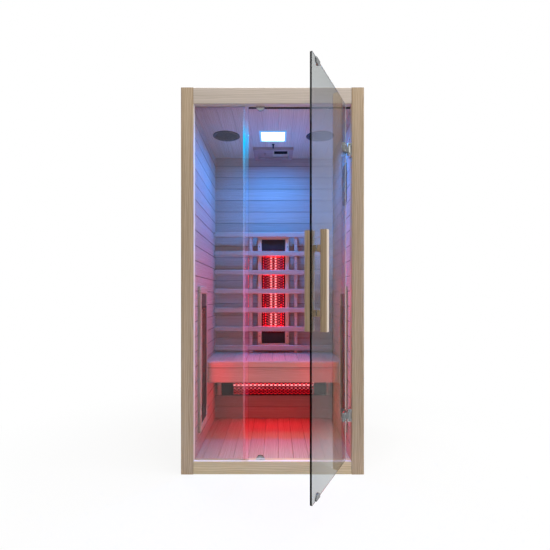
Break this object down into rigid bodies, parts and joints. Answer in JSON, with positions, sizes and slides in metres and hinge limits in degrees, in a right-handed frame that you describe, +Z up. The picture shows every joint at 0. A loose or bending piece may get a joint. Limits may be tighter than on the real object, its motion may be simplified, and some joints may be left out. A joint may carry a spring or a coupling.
{
  "type": "infrared sauna cabin",
  "caption": "Upright softwood infrared sauna cabin with a glass front, a swing door, a bench with a slatted backrest, tube heaters and a sliding ceiling vent.",
  "frame": {"origin": "on the floor, under the middle of the cabin's footprint", "axes": "+Z up, the glass front towards -Y, +X to the right when facing the front"},
  "size_m": [0.9, 1.3533, 1.9],
  "materials": {
    "hemlock": "planed pale softwood, untreated",
    "frame_timber": "planed softwood with a straight grain",
    "handle_timber": "smooth oiled wood",
    "stud": "sawn softwood",
    "glass": "clear grey tempered glass",
    "clear_seal": "clear flexible plastic",
    "chrome": "polished",
    "black_rubber": "matte",
    "black_enamel": "satin black enamel",
    "guard_steel": "bright expanded metal",
    "quartz": "ruby quartz tube",
    "speaker_grille": "dark perforated metal",
    "light_frame": "white",
    "diffuser": "opal",
    "dark_glass": "dark glossy touch panel",
    "grey_plastic": "moulded"
  },
  "bodies": {
    "cabin": {"base_frame": "stud", "floor_boards": "hemlock", "left_wall_lining": "hemlock", "left_wall_frame": "stud", "left_wall_cladding": "hemlock", "right_wall_lining": "hemlock", "right_wall_frame": "stud", "right_wall_cladding": "hemlock", "back_wall_lining": "hemlock", "back_wall_frame": "stud", "back_wall_cladding": "hemlock", "ceiling_lining": "hemlock", "roof_frame": "stud", "roof_cover": "hemlock", "power_unit": "grey_plastic", "left_stile": "frame_timber", "right_stile": "frame_timber", "header": "frame_timber", "sill": "frame_timber", "fixed_glass": "glass", "glass_edge_seal": "clear_seal", "door_stop_seal": "black_rubber", "header_catch": "chrome", "sill_catch": "chrome", "upper_hinge_bracket": "chrome", "lower_hinge_bracket": "chrome", "bench_top": "hemlock", "bench_front_rail": "hemlock", "bench_apron": "hemlock", "bench_cleats": "stud", "backrest": "hemlock", "back_heater_housing": "black_enamel", "back_heater_tube": "quartz", "back_heater_guard": "guard_steel", "bench_heater_housing": "black_enamel", "bench_heater_tube": "quartz", "bench_heater_guard": "guard_steel", "left_heater_housing": "black_enamel", "left_heater_tube": "quartz", "left_heater_guard": "guard_steel", "right_heater_housing": "black_enamel", "right_heater_tube": "quartz", "right_heater_guard": "guard_steel", "left_speaker": "speaker_grille", "right_speaker": "speaker_grille", "light_frame": "light_frame", "light_diffuser": "diffuser", "temperature_probe": "black_enamel", "control_panel": "dark_glass", "vent_frame": "hemlock"},
    "door": {"door_glass": "glass", "upper_hinge_clamp": "chrome", "lower_hinge_clamp": "chrome", "handle_outer_bar": "handle_timber", "handle_inner_bar": "handle_timber", "upper_handle_bolt": "handle_timber", "lower_handle_bolt": "handle_timber", "upper_catch_plate": "chrome", "lower_catch_plate": "chrome"},
    "vent": {"vent_slider": "hemlock"}
  },
  "joints": [
    {"name": "door_hinge", "type": "hinge", "parent": "cabin", "child": "door", "pos_m": [0.374, -0.45, 0.943], "axis": [0, 0, 1], "range_deg": [-65.3, 29.7]},
    {"name": "vent_slide", "type": "slide", "parent": "cabin", "child": "vent", "axis": [1, 0, 0], "range_m": [0, 0.104]}
  ]
}
